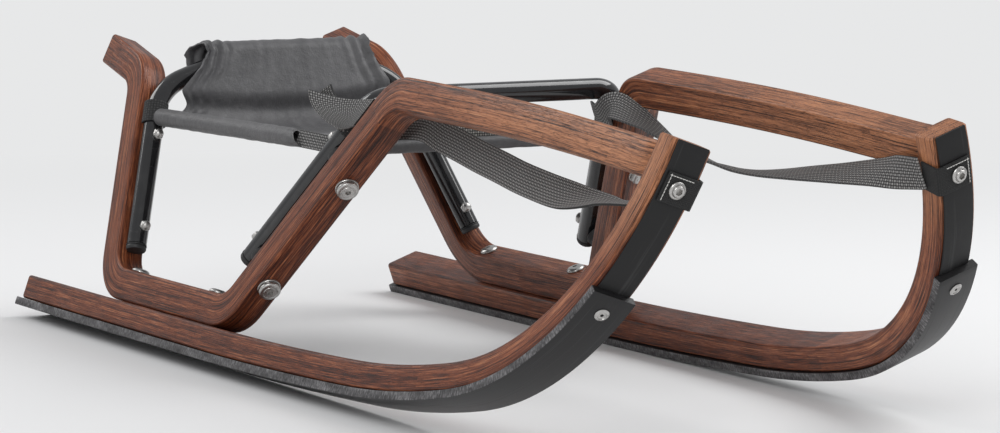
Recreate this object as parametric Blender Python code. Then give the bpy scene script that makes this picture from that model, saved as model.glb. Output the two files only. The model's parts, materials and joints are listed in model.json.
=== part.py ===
"""Sport sled: two bent laminated side frames on flat soles, joined by two tube
hoops, with a sling seat between the hoops and a webbing strap to each runner top.

X runs forward, Y to the sled's left, Z up, in metres. The floor is Z = 0.
Each side frame is drawn flat in its own leaned plane: u forward, v up the plane."""
import bpy
import bmesh
from math import ceil, cos, hypot, pi, radians, sin, tan
from mathutils import Vector
from mathutils.geometry import interpolate_bezier

# Side frames
frame_lean = radians(19.5)          # the tops lean towards each other
half_gauge = 0.2240                 # middle plane to the middle of a runner's underside
runner_width = 0.040
carrier_width = 0.030
wood_round = 0.003
round_above = radians(50)           # edges sharper than this are rounded
fit_gap = 0.0003                    # between pieces that touch

# Runner, drawn by its underside: straight, then four bends, each tighter than the last
runner_thick = 0.0255
runner_straight = 0.429
rocker_radius = 7.25
rocker_turn = radians(2.5)
rise_radius = 1.155
rise_turn = radians(8.55)
sweep_radius = 0.394
sweep_turn = radians(5.0)
nose_radius = 0.298
nose_turn = radians(66.3)
runner_step = 0.030
sole_thick = 0.0086
sole_width = 0.044
sole_overhang = 0.009
facing_length = 0.147               # along the runner's front, from its top end
facing_width = 0.0325
facing_thick = 0.002

# Carrier: horn, upright, foot, strut and arm in one bent strip
carrier_thick = 0.033
heel_from_rear = 0.1773
toe_from_rear = 0.4521
upright_tilt = radians(20.9)
strut_tilt = radians(39.7)
arm_slope = radians(2.7)
horn_height = 0.262
horn_reach = 0.0887
horn_rise = 0.0195
shoulder_height = 0.284
arm_crown = 0.0047
bend_inner = 0.032
horn_bend_inner = 0.026
bend_steps = 7
cut_steps = 50

# Hoops
tube_radius = 0.0105
rear_hoop_bend = 0.066
front_hoop_bend = 0.026
hoop_sides = 12
rear_leg_low = 0.085                # heights up the frame's plane
rear_bar_height = 0.281
front_leg_low = 0.102
front_bar_height = 0.2768
bush_length = 0.0126
bush_radius = 0.011
cap_length = 0.006
cap_chamfer = 0.0015
cap_rim_share = 0.92

# Fasteners
bolt_radius = 0.004
bolt_clearance = 0.0004
shank_show = 0.003                  # thread beyond the nut
washer_radius = 0.0115
washer_thick = 0.004
head_radius = 0.0095
head_height = 0.006
head_top_share = 0.6
nut_radius = 0.0065
nut_height = 0.006
drill_overrun = 0.010
strut_bolt_low = 0.0775
strut_bolt_high = 0.1879
upright_bolt_low = 0.1020
upright_bolt_high = 0.1980
screw_head_radius = 0.0095
screw_head_height = 0.004
foot_screw_clear = 0.0085           # from the end of a bend in the carrier
foot_screw_back = 0.027
sole_screw_back = 0.020             # from the sole's front end
sole_screw_radius = 0.0065
sole_screw_height = 0.002
strap_bolt_below = 0.0405           # from the runner's top end
turned_sides = 16
head_edge_share = 1 / 3

# Seat
leather_thick = 0.003
sleeve_slack = 0.0035
sleeve_half_width = 0.095
sleeve_start = radians(-30)
sleeve_end = radians(38)
sleeve_steps = 12
seat_slope = 0.055                  # from the rear bar forward to the floor of the seat
seat_sag = 0.022
seat_across = 8
floor_steps = 5
slope_sag_share = 0.25
hem_height = 0.2204
hem_rise = 0.0053                   # from the rear to the front end of a side hem
hem_radius = 0.0095
hem_front = 0.4777                  # where the side hem ends, from the wood's rear end
front_hem_radius = 0.0065
front_hem_height = 0.2207

# Webbing
webbing_width = 0.030
webbing_thick = 0.002
band_height = 0.2222
band_width = 0.024
band_opening = radians(62)
loop_below_bar = 0.027
loop_width = 0.024
ring_steps = 16
seat_webbing_width = 0.023          # in the side hems and across the front
hem_webbing_lap = 0.006             # beyond the front leg's middle line
leg_approach = 0.022                # how far behind the leg it lies beside it
patch_size = 0.030
patch_wrap = 0.0195                 # along the runner's inner side
tail_start_ahead = 0.008            # of the strap's start
tail_reach = 0.098                  # from the front leg back to its fold
tail_return = 0.036
tail_height = 0.2591
tail_rise = 0.004
tail_width = 0.027
tail_drift = 0.0015                 # inwards, over its length
fold_radius = 0.0055
fold_steps = 6
line_steps = 3
handle_share = 1 / 6

# Strap routes from the front leg to the runner's top: forward, up the plane and out,
# and the angle in degrees by which the upper edge turns inwards
strap_routes = {
    "right": ((0.5705, 0.2515, -0.0141, 0), (0.5880, 0.2525, -0.0195, 0), (0.6120, 0.2595, -0.0260, 0),
              (0.6515, 0.2630, -0.0300, 0), (0.6853, 0.2562, -0.0320, 0), (0.7187, 0.2509, -0.0350, 0),
              (0.7573, 0.2444, -0.0370, 0), (0.7965, 0.2388, -0.0380, 0), (0.8353, 0.2329, -0.0390, 0),
              (0.8723, 0.2287, -0.0400, 3), (0.9099, 0.2255, -0.0400, 14), (0.9455, 0.2244, -0.0400, 36),
              (0.9812, 0.2251, -0.0390, 56), (1.0030, 0.2256, -0.0380, 68), (1.0400, 0.2290, -0.0360, 66),
              (1.0750, 0.2355, -0.0320, 44), (1.1080, 0.2430, -0.0275, 12), (1.1400, 0.2500, -0.0242, 0)),
    "left": ((0.5705, 0.2515, -0.0141, 0), (0.5880, 0.2525, -0.0200, 0), (0.6060, 0.2575, -0.0255, 0),
             (0.6270, 0.2690, -0.0275, 0), (0.6500, 0.2715, -0.0280, -8), (0.7010, 0.2569, -0.0300, -50),
             (0.7300, 0.2490, -0.0330, -84), (0.7970, 0.2345, -0.0360, -108), (0.8320, 0.2317, -0.0370, -109),
             (0.8637, 0.2298, -0.0360, -106), (0.9060, 0.2317, -0.0350, -98), (0.9565, 0.2363, -0.0340, -86),
             (1.0190, 0.2415, -0.0310, -68), (1.0806, 0.2471, -0.0280, -44), (1.1120, 0.2490, -0.0258, -12),
             (1.1400, 0.2500, -0.0242, 0)),
}

finishes = {
    "wood": ((0.23, 0.115, 0.07), 0.45, 0.0),
    "sole": ((0.035, 0.032, 0.034), 0.55, 0.0),
    "tube": ((0.02, 0.02, 0.022), 0.18, 0.4),
    "steel": ((0.55, 0.55, 0.55), 0.3, 1.0),
    "rubber": ((0.02, 0.02, 0.02), 0.7, 0.0),
    "leather": ((0.17, 0.165, 0.17), 0.55, 0.0),
    "webbing": ((0.10, 0.10, 0.105), 0.8, 0.0),
}
sides = (("right", 1), ("left", -1))


def clear_scene():
    for item in list(bpy.data.objects):
        bpy.data.objects.remove(item, do_unlink=True)


def paint(item, finish):
    colour, rough, metal = finishes[finish]
    material = bpy.data.materials.new(item.name + "_" + finish)
    material.use_nodes = True
    shader = material.node_tree.nodes["Principled BSDF"]
    shader.inputs["Base Color"].default_value = (*colour, 1)
    shader.inputs["Roughness"].default_value = rough
    shader.inputs["Metallic"].default_value = metal
    item.data.materials.append(material)
    return item


def add_mesh(name, finish, verts, faces, smooth=None):
    mesh = bpy.data.meshes.new(name)
    mesh.from_pydata([tuple(v) for v in verts], [], faces)
    work = bmesh.new()
    work.from_mesh(mesh)
    bmesh.ops.recalc_face_normals(work, faces=work.faces)
    if work.calc_volume(signed=True) < 0:
        bmesh.ops.reverse_faces(work, faces=work.faces)
    work.to_mesh(mesh)
    work.free()
    if smooth is not None:
        mesh.shade_smooth()
        mesh.set_sharp_from_angle(angle=radians(smooth))
    item = bpy.data.objects.new(name, mesh)
    bpy.context.collection.objects.link(item)
    return paint(item, finish)


# Lines in the plane of a side frame

runner_bends = ((rocker_radius, rocker_turn), (rise_radius, rise_turn),
                (sweep_radius, sweep_turn), (nose_radius, nose_turn))


def runner_point(run, rise=0):
    """Point and heading at a length along the runner's underside, raised off it."""
    u, v, heading = min(run, runner_straight), 0.0, 0.0
    left = run - runner_straight
    for radius, turn in runner_bends:
        if left <= 0:
            break
        angle = min(left / radius, turn)
        u += radius * (sin(heading + angle) - sin(heading))
        v += radius * (cos(heading) - cos(heading + angle))
        heading += angle
        left -= radius * turn
    return (u - rise * sin(heading), v + rise * cos(heading), heading)


runner_length = runner_straight + sum(radius * turn for radius, turn in runner_bends)
sole_run = runner_length - facing_length
strap_bolt_run = runner_length - strap_bolt_below


def runs_between(start, end):
    """Stations along the underside: one at each end of the straight, then even steps."""
    stations = [start]
    if start < runner_straight < end:
        stations.append(runner_straight)
    first = stations[-1]
    count = ceil((end - first) / runner_step)
    return stations + [first + (end - first) * (k + 1) / count for k in range(count)]


def rounded_path(corners, radii, steps):
    """Polyline through corners, each inner one rounded to its radius."""
    corners = [Vector(corner) for corner in corners]
    points = [corners[0]]
    for before, corner, after, radius in zip(corners, corners[1:], corners[2:], radii):
        a = (corner - before).normalized()
        b = (after - corner).normalized()
        turn = a.angle(b)
        inward = (b - a * a.dot(b)).normalized()
        centre = corner - a * radius * tan(turn / 2) + inward * radius
        for k in range(steps + 1):
            angle = turn * k / steps
            points.append(centre - inward * radius * cos(angle) + a * radius * sin(angle))
    return points + [corners[-1]]


def smooth_line(points, steps):
    """Even curve through the points, straight on past both ends."""
    points = [Vector(point) for point in points]
    ends = [points[0] * 2 - points[1]] + points + [points[-1] * 2 - points[-2]]
    line = []
    for a, b, c, d in zip(ends, ends[1:], ends[2:], ends[3:]):
        handles = b + (c - a) * handle_share, c - (d - b) * handle_share
        line += interpolate_bezier(b, *handles, c, steps + 1)[:-1]
    return line + [points[-1]]


def headings(path):
    steps = [(b - a).normalized() for a, b in zip(path, path[1:])]
    turned = [(a + b).normalized() for a, b in zip(steps, steps[1:])]
    return [steps[0]] + turned + [steps[-1]]


def meet_runner(point, slope):
    """Runs a line forward from a point until it lies fit_gap short of the runner's inner face."""
    low, high = 0.0, runner_length
    for _ in range(cut_steps):
        run = (low + high) / 2
        u, v, _ = runner_point(run, runner_thick + fit_gap)
        if v < point[1] - (u - point[0]) * tan(slope):
            low = run
        else:
            high = run
    return Vector((u, v))


def carrier_corners():
    foot = runner_thick + fit_gap + carrier_thick / 2
    heel = (heel_from_rear, foot)
    toe = (toe_from_rear, foot)
    horn = (heel_from_rear - (horn_height - foot) * tan(upright_tilt), horn_height)
    tip = (horn[0] - horn_reach, horn_height + horn_rise)
    shoulder = (toe_from_rear + (shoulder_height - foot) * tan(strut_tilt), shoulder_height)
    return tip, horn, heel, toe, shoulder


def carrier_path():
    corners = carrier_corners()
    end = meet_runner(corners[-1], arm_slope)
    middle = carrier_thick / 2
    radii = [horn_bend_inner + middle] + [bend_inner + middle] * 3
    path = rounded_path([*corners, end], radii, bend_steps)
    crown = []
    for k in range(1, bend_steps):
        share = k / bend_steps
        crown.append(path[-2].lerp(end, share) + Vector((0, arm_crown * sin(pi * share))))
    return path[:-1] + crown + [end]


def carrier_edges():
    """The two edges of the carrier's outline, from the horn's tip to the arm's end."""
    path = carrier_path()
    upper, lower = [], []
    for point, heading in zip(path, headings(path)):
        across = Vector((-heading[1], heading[0])) * carrier_thick / 2
        upper.append(point + across)
        lower.append(point - across)
    upper[-1] = meet_runner(upper[-2], arm_slope)
    lower[-1] = meet_runner(lower[-2], arm_slope)
    return upper, lower


def upright_line(height, ahead):
    """A point in the plane at a height up it, so far ahead of the upright's middle line."""
    _, _, heel, _, _ = carrier_corners()
    middle = heel[0] - (height - heel[1]) * tan(upright_tilt)
    return (middle + ahead / cos(upright_tilt), height)


def strut_line(height, behind):
    _, _, _, toe, _ = carrier_corners()
    middle = toe[0] + (height - toe[1]) * tan(strut_tilt)
    return (middle - behind / cos(strut_tilt), height)


rear_leg_ahead = carrier_thick / 2 + fit_gap + tube_radius
front_leg_behind = carrier_thick / 2 + bush_length + tube_radius + 2 * fit_gap


# The leaned plane in the world

facing_rise = 2 * fit_gap + facing_thick
patch_rise = facing_rise + webbing_thick + fit_gap
strap_bolt_height = washer_thick + head_height / 2


def front_reach():
    """How far forward of the wood's rear end the sled goes."""
    u, _, heading = runner_point(strap_bolt_run, -patch_rise - strap_bolt_height)
    top, _, _ = runner_point(runner_length, -facing_rise + fit_gap)
    return max(u + head_radius * head_top_share * cos(heading), top)


part_centre = (front_reach() - sole_overhang) / 2
floor_lift = sole_thick * cos(frame_lean) + sole_width / 2 * sin(frame_lean)


def on_frame(side, u, v, out=0):
    """World place of a point u forward and v up a side's plane, out to its outer face."""
    y = -half_gauge + v * sin(frame_lean) - out * cos(frame_lean)
    z = floor_lift + v * cos(frame_lean) + out * sin(frame_lean)
    return Vector((u - part_centre, side * y, z))


def frame_direction(side, u, v, out=0):
    return on_frame(side, u, v, out) - on_frame(side, 0, 0)


def half_width(out, z):
    """From the middle plane to a side's plane, moved out, at a height above the floor."""
    v = (z - floor_lift - out * sin(frame_lean)) / cos(frame_lean)
    return half_gauge - v * sin(frame_lean) + out * cos(frame_lean)


# Solids

def add_strip(name, finish, side, edge_a, edge_b, width, round_edges=0):
    """A bar between two edge lines in the plane, of a width across it."""
    verts, faces = [], []
    half = width / 2
    for a, b in zip(edge_a, edge_b):
        for point, out in ((a, half), (a, -half), (b, -half), (b, half)):
            verts.append(on_frame(side, point[0], point[1], out))
    count = len(edge_a)
    for k in range(count - 1):
        for c in range(4):
            d = (c + 1) % 4
            faces.append((4 * k + c, 4 * k + d, 4 * k + 4 + d, 4 * k + 4 + c))
    faces.append((0, 1, 2, 3))
    faces.append(tuple(4 * (count - 1) + c for c in range(4)))
    item = add_mesh(name, finish, verts, faces)
    if round_edges:
        bevel = item.modifiers.new("edges", "BEVEL")
        bevel.width = round_edges
        bevel.segments = 1
        bevel.limit_method = "ANGLE"
        bevel.angle_limit = round_above
    return item


def add_sweep(name, finish, path, section, closed=False, smooth=50):
    """Carries a section of (across, up) points along a path of (place, up) stations."""
    count = len(path)
    verts, faces = [], []
    size = len(section)
    for k in range(count):
        if closed:
            before, after = path[(k - 1) % count], path[(k + 1) % count]
        else:
            before, after = path[max(k - 1, 0)], path[min(k + 1, count - 1)]
        ahead = (after[0] - before[0]).normalized()
        up = (path[k][1] - ahead * ahead.dot(path[k][1])).normalized()
        across = ahead.cross(up)
        for a, b in section:
            verts.append(path[k][0] + across * a + up * b)
    for k in range(count if closed else count - 1):
        n = (k + 1) % count
        for c in range(size):
            d = (c + 1) % size
            faces.append((size * k + c, size * k + d, size * n + d, size * n + c))
    if not closed:
        faces.append(tuple(range(size)))
        faces.append(tuple(size * (count - 1) + c for c in range(size)))
    return add_mesh(name, finish, verts, faces, smooth)


def round_section(radius):
    turns = [2 * pi * k / hoop_sides for k in range(hoop_sides)]
    return [(radius * cos(turn), radius * sin(turn)) for turn in turns]


def flat_section(width):
    half, thick = width / 2, webbing_thick / 2
    return [(-half, -thick), (half, -thick), (half, thick), (-half, thick)]


def add_turned(name, finish, base, axis, profile):
    """A turned solid: profile gives (radius, length along the axis from base)."""
    axis = axis.normalized()
    a = axis.orthogonal().normalized()
    b = axis.cross(a)
    verts, faces, rings = [], [], []
    for radius, along in profile:
        ring = []
        for k in range(turned_sides):
            angle = 2 * pi * k / turned_sides
            ring.append(len(verts))
            verts.append(base + axis * along + (a * cos(angle) + b * sin(angle)) * radius)
        rings.append(ring)
    for one, two in zip(rings, rings[1:]):
        for k in range(turned_sides):
            n = (k + 1) % turned_sides
            faces.append((one[k], one[n], two[n], two[k]))
    faces.append(tuple(rings[0]))
    faces.append(tuple(rings[-1]))
    return add_mesh(name, finish, verts, faces, 40)


def drill(item, base, axis, start, end):
    """Cuts a bolt's hole through an object with a hidden cutter."""
    radius = bolt_radius + bolt_clearance
    cutter = add_turned(item.name + "_cutter", "steel", base, axis, ((radius, start), (radius, end)))
    cutter.hide_render = True
    cutter.display_type = "WIRE"
    cut = item.modifiers.new("hole", "BOOLEAN")
    cut.operation = "DIFFERENCE"
    cut.object = cutter


# Side frame pieces

def add_runner(side_name, side):
    runs = runs_between(0, runner_length)
    under = [runner_point(run) for run in runs]
    top = [runner_point(run, runner_thick) for run in runs]
    add_strip("runner_" + side_name, "wood", side, under, top, runner_width, wood_round)


def add_sole(side_name, side):
    runs = runs_between(0, sole_run)
    upper = [(-sole_overhang, -fit_gap)] + [runner_point(run, -fit_gap) for run in runs]
    lower = [(-sole_overhang, -sole_thick)] + [runner_point(run, -sole_thick) for run in runs]
    add_strip("sole_" + side_name, "sole", side, upper, lower, sole_width)
    u, v, heading = runner_point(sole_run - sole_screw_back, -sole_thick)
    add_screw("sole_screw_" + side_name, side, (u, v), (sin(heading), -cos(heading)),
              sole_screw_radius, sole_screw_height)


def add_facing(side_name, side):
    runs = runs_between(sole_run + fit_gap, runner_length)
    inner = [runner_point(run, -fit_gap) for run in runs]
    outer = [runner_point(run, -fit_gap - facing_thick) for run in runs]
    add_strip("facing_" + side_name, "sole", side, inner, outer, facing_width)


def add_carrier(side_name, side):
    upper, lower = carrier_edges()
    return add_strip("carrier_" + side_name, "wood", side, upper, lower, carrier_width, wood_round)


def hoop_path(low, high, bend):
    """Centre line of a hoop: up one leg, across and down the other, with its bends."""
    corners = [on_frame(1, *low), on_frame(1, *high), on_frame(-1, *high), on_frame(-1, *low)]
    return rounded_path(corners, (bend, bend), bend_steps)


def add_hoop(name, low, high, bend):
    path = [(point, Vector((1, 0, 0))) for point in hoop_path(low, high, bend)]
    return add_sweep(name, "tube", path, round_section(tube_radius))


def add_cap(name, side, low, high):
    base = on_frame(side, *low)
    rim = tube_radius * cap_rim_share
    profile = ((rim, fit_gap), (tube_radius, fit_gap + cap_chamfer),
               (tube_radius, cap_length - cap_chamfer), (rim, cap_length))
    add_turned(name, "rubber", base, base - on_frame(side, *high), profile)


# Fasteners

def bolt_profile(grip):
    """Dome head and washer, shank and nut on one axis; zero is the face under the washer."""
    start, end = -fit_gap, grip + fit_gap
    head = start - washer_thick
    return (
        (head_radius * head_top_share, head - head_height),
        (head_radius, head - head_height / 2),
        (head_radius, head),
        (washer_radius, head),
        (washer_radius, start),
        (bolt_radius, start),
        (bolt_radius, end),
        (nut_radius, end),
        (nut_radius, end + nut_height),
        (bolt_radius, end + nut_height),
        (bolt_radius, end + nut_height + shank_show),
    )


def add_bolt(name, side, start, direction, grip, drilled):
    base = on_frame(side, *start)
    axis = frame_direction(side, *direction)
    add_turned(name, "steel", base, axis, bolt_profile(grip))
    for item in drilled:
        drill(item, base, axis, -drill_overrun, grip + drill_overrun)


def add_screw(name, side, place, direction, radius, height):
    """A pan head on the face it is driven into."""
    profile = ((radius, fit_gap), (radius, height * head_edge_share), (radius * head_top_share, height))
    add_turned(name, "steel", on_frame(side, *place), frame_direction(side, *direction), profile)


def add_bush(name, side, start, direction):
    base = on_frame(side, *start)
    axis = frame_direction(side, *direction)
    bush = add_turned(name, "rubber", base, axis, ((bush_radius, fit_gap), (bush_radius, bush_length)))
    drill(bush, base, axis, -drill_overrun, bush_length + drill_overrun)


def add_strut_bolts(side_name, side, carrier, hoop):
    direction = (-cos(strut_tilt), sin(strut_tilt))
    grip = carrier_thick + bush_length + 2 * tube_radius + 2 * fit_gap
    for level, height in (("low", strut_bolt_low), ("high", strut_bolt_high)):
        front = strut_line(height, -carrier_thick / 2)
        rear = (front[0] + direction[0] * carrier_thick, front[1] + direction[1] * carrier_thick)
        add_bush("bush_" + level + "_" + side_name, side, rear, direction)
        add_bolt("strut_bolt_" + level + "_" + side_name, side, front, direction, grip, (carrier, hoop))


def add_upright_bolts(side_name, side, carrier, hoop):
    direction = (cos(upright_tilt), sin(upright_tilt))
    depth = rear_leg_ahead + carrier_thick / 2
    grip = carrier_thick + 2 * tube_radius + 2 * fit_gap
    for level, height in (("low", upright_bolt_low), ("high", upright_bolt_high)):
        tube = upright_line(height, rear_leg_ahead)
        rear = (tube[0] - direction[0] * depth, tube[1] - direction[1] * depth)
        add_bolt("upright_bolt_" + level + "_" + side_name, side, rear, direction, grip, (carrier, hoop))


def add_foot_screws(side_name, side):
    top = runner_thick + fit_gap + carrier_thick
    middle = bend_inner + carrier_thick / 2
    heel_end = heel_from_rear + middle * tan((pi / 2 - upright_tilt) / 2)
    toe_start = toe_from_rear - middle * tan((pi / 2 - strut_tilt) / 2)
    for place, u in (("rear", heel_end + foot_screw_clear), ("front", toe_start - foot_screw_back)):
        add_screw("foot_screw_" + place + "_" + side_name, side, (u, top), (0, 1),
                  screw_head_radius, screw_head_height)


def add_strap_fixing(side_name, side):
    """A sewn webbing end: on the facing under a washer and bolt, then round the inner side."""
    u, v, heading = runner_point(strap_bolt_run, -facing_rise)
    axis = frame_direction(side, sin(heading), -cos(heading))
    inner = frame_direction(side, 0, 0, -1)
    half = webbing_thick / 2
    outer_end = on_frame(side, u, v, patch_size / 2) + axis * half
    bend = on_frame(side, u, v, -facing_width / 2 - half) + axis * half
    turned = on_frame(side, u, v, -runner_width / 2 - fit_gap - half)
    path = [(outer_end, axis), (bend, (axis * 2 + inner).normalized()),
            (turned - axis * webbing_thick, (axis + inner * 2).normalized()),
            (turned - axis * 2 * webbing_thick, inner), (turned - axis * (facing_rise + patch_wrap), inner)]
    add_sweep("strap_patch_" + side_name, "webbing", path, flat_section(patch_size))
    seat = webbing_thick + fit_gap
    profile = ((washer_radius, seat), (washer_radius, seat + washer_thick / 2),
               (head_radius * head_top_share, seat + washer_thick),
               (head_radius * head_top_share, seat + strap_bolt_height))
    add_turned("strap_bolt_" + side_name, "steel", on_frame(side, u, v), axis, profile)


def add_side_frame(side_name, side, rear_hoop, front_hoop):
    add_runner(side_name, side)
    add_sole(side_name, side)
    add_facing(side_name, side)
    carrier = add_carrier(side_name, side)
    add_strut_bolts(side_name, side, carrier, front_hoop)
    add_upright_bolts(side_name, side, carrier, rear_hoop)
    add_foot_screws(side_name, side)
    add_strap_fixing(side_name, side)


# Seat

def hem_start():
    """Where the side hem begins, just ahead of the band on the rear leg."""
    leg = upright_line(hem_height, rear_leg_ahead)
    return leg[0] + tube_radius + webbing_thick + 3 * fit_gap + sin(upright_tilt) * hem_radius


def hem_line(u):
    """Height up the plane of the side hem and the webbing that goes on from it."""
    return hem_height + hem_rise * (u - hem_start()) / (hem_front - hem_start())


def front_hem_middle():
    """The front hem ends at the webbing beside the front legs, so it lies on their line."""
    return strut_line(front_hem_height, front_leg_behind)


leg_side = tube_radius + webbing_thick + 2 * fit_gap       # inner side of the webbing beside a leg


def seat_half_width(u):
    """Half width of the leather where it is sewn on: along the hem, then beside the leg."""
    share = min(max((u - hem_front + leg_approach) / leg_approach, 0), 1)
    inside = hem_radius + (leg_side - hem_radius) * share + fit_gap
    return half_width(-inside, on_frame(1, u, hem_line(u)).z + leather_thick / 2)


def sleeve_stations(bar):
    """The leather round the rear bar, from its free edge over the top to the seam."""
    radius = tube_radius + sleeve_slack + leather_thick / 2
    turn = 2 * pi - (sleeve_end - sleeve_start)
    angles = [sleeve_start - turn * k / sleeve_steps for k in range(sleeve_steps + 1)]
    return [(bar.x + radius * cos(a), bar.z + radius * sin(a), sleeve_half_width, 0) for a in angles]


def seat_stations():
    """Stations of the leather along the sled: (x, z, half width, sag)."""
    bar = on_frame(1, *upright_line(rear_bar_height, rear_leg_ahead))
    stations = sleeve_stations(bar)
    x, z, _, _ = stations[-1]
    floor_x = bar.x + seat_slope
    front_x = front_hem_middle()[0] - part_centre - front_hem_radius - webbing_thick - 2 * fit_gap

    def floor_at(at):
        return Vector((at, on_frame(1, 0, hem_line(at + part_centre)).z, 0))

    start, floor, front = Vector((x, z, 0)), floor_at(floor_x), floor_at(front_x)
    slope = (start + floor) / 2 - Vector((0, leather_thick, 0))
    line = smooth_line([start, slope, floor, (floor + front) / 2, front], floor_steps)
    for point in line[1:]:
        down = min((point.x - x) / (floor_x - x), 1)
        ahead = max((point.x - floor_x) / (front_x - floor_x), 0)
        half = sleeve_half_width + (seat_half_width(point.x + part_centre) - sleeve_half_width) * down
        sag = seat_sag * sin(pi * min(ahead + down * slope_sag_share, 1))
        stations.append((point.x, point.y, half, sag))
    return stations


def add_seat():
    verts, faces = [], []
    stations = seat_stations()
    columns = seat_across + 1
    for layer in (1, -1):
        for k, (x, z, half, sag) in enumerate(stations):
            a, b = stations[max(k - 1, 0)], stations[min(k + 1, len(stations) - 1)]
            size = hypot(b[0] - a[0], b[1] - a[1])
            along = ((b[0] - a[0]) / size, (b[1] - a[1]) / size)
            for c in range(columns):
                across = 2 * c / seat_across - 1
                drop = sag * (1 - across ** 2)
                lift = layer * leather_thick / 2
                verts.append((x - along[1] * lift, half * across, z - drop + along[0] * lift))
    rows = len(stations)
    layer_size = rows * columns
    for k in range(rows - 1):
        for c in range(columns - 1):
            a = k * columns + c
            quad = (a, a + 1, a + columns + 1, a + columns)
            faces.append(quad)
            faces.append(tuple(layer_size + corner for corner in reversed(quad)))
    first_row = list(range(columns))
    right = [k * columns + columns - 1 for k in range(1, rows)]
    last_row = [(rows - 1) * columns + c for c in range(columns - 2, -1, -1)]
    left = [k * columns for k in range(rows - 2, 0, -1)]
    rim = first_row + right + last_row + left
    for a, b in zip(rim, rim[1:] + rim[:1]):
        faces.append((a, layer_size + a, layer_size + b, b))
    add_mesh("seat_leather", "leather", verts, faces, 50)


def add_front_hem():
    """A rolled hem from leg to leg, and a band of webbing behind it."""
    middle = on_frame(1, *front_hem_middle())
    beside = -leg_side - fit_gap
    half = half_width(beside, middle.z + front_hem_radius)
    path = [(Vector((middle.x, side * half, middle.z)), Vector((0, 0, 1))) for side in (-1, 0, 1)]
    add_sweep("seat_front_hem", "leather", path, round_section(front_hem_radius))
    back = front_hem_radius + webbing_thick / 2 + fit_gap
    lift = seat_webbing_width / 2 - front_hem_radius
    half = half_width(beside, middle.z + lift + seat_webbing_width / 2)
    ends = [Vector((middle.x - back, side * half, middle.z + lift)) for side in (-1, 0, 1)]
    path = [(point, Vector((1, 0, 0))) for point in ends]
    add_sweep("front_webbing", "webbing", path, flat_section(seat_webbing_width))


# Webbing

def add_ring(name, side, middle, axis, width, turn_from, turn_to, forward):
    """Webbing lying round a tube, from one angle to another about its axis."""
    axis = axis.normalized()
    ahead = (forward - axis * axis.dot(forward)).normalized()
    across = axis.cross(ahead)
    full = turn_to - turn_from >= 2 * pi
    path = []
    for k in range(ring_steps if full else ring_steps + 1):
        angle = turn_from + (turn_to - turn_from) * k / ring_steps
        spoke = ahead * cos(angle) + across * sin(angle)
        path.append((middle + spoke * (tube_radius + fit_gap + webbing_thick / 2), spoke))
    add_sweep(name, "webbing", path, flat_section(width), closed=full)


def add_rear_band(side_name, side):
    axis = frame_direction(side, -sin(upright_tilt), cos(upright_tilt))
    leg = upright_line(band_height, rear_leg_ahead)
    add_ring("rear_band_" + side_name, side, on_frame(side, *leg), axis, band_width,
             band_opening, 2 * pi - band_opening, frame_direction(side, -1, 0))


def add_side_hem(side_name, side):
    """The hem's roll, then its webbing on to the inner side of the front leg."""
    up = frame_direction(side, 0, 1)
    ends = [(on_frame(side, u, hem_line(u)), up) for u in (hem_start(), hem_front)]
    add_sweep("side_hem_" + side_name, "leather", ends, round_section(hem_radius))
    leg = front_hem_middle()[0]
    beside = tube_radius + fit_gap + webbing_thick / 2
    start, swung = hem_front + fit_gap, leg - leg_approach
    end = leg + hem_webbing_lap
    turns = [(start, 0), ((start + swung) / 2, beside / 2), (swung, beside), (end, beside)]
    inner = frame_direction(side, 0, 0, -1)
    path = [(on_frame(side, u, hem_line(u), -into), inner) for u, into in turns]
    add_sweep("hem_webbing_" + side_name, "webbing", path, flat_section(seat_webbing_width))


def add_leg_loop(side_name, side):
    leg = strut_line(front_bar_height - loop_below_bar, front_leg_behind)
    axis = frame_direction(side, sin(strut_tilt), cos(strut_tilt))
    add_ring("webbing_loop_" + side_name, side, on_frame(side, *leg), axis, loop_width,
             0, 2 * pi, frame_direction(side, 1, 0))


def add_strap_tail(side_name, side):
    """The strap's free end: back along the outer side of the leg, then folded on itself."""
    first = strap_routes[side_name][0]
    start = (first[0] + tail_start_ahead, tail_height, -first[2])
    fold = (start[0] - tail_reach, tail_height + tail_rise, start[2] - tail_drift)
    path = [(on_frame(side, *start), frame_direction(side, 0, 0, 1))]
    for k in range(fold_steps + 1):
        turn = pi * k / fold_steps
        spoke = frame_direction(side, -sin(turn), 0, cos(turn))
        middle = on_frame(side, fold[0], fold[1], fold[2] - fold_radius)
        path.append((middle + spoke * fold_radius, spoke))
    end = on_frame(side, fold[0] + tail_return, fold[1], fold[2] - 2 * fold_radius - tail_drift)
    path.append((end, frame_direction(side, 0, 0, -1)))
    add_sweep("strap_tail_" + side_name, "webbing", path, flat_section(tail_width))


def add_strap(side_name, side):
    route = strap_routes[side_name]
    places = smooth_line([point[:3] for point in route], line_steps)
    twists = smooth_line([(radians(point[3]), 0) for point in route], line_steps)
    path = []
    for place, (twist, _) in zip(places, twists):
        path.append((on_frame(side, *place), frame_direction(side, 0, -sin(twist), -cos(twist))))
    add_sweep("strap_" + side_name, "webbing", path, flat_section(webbing_width))


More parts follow.
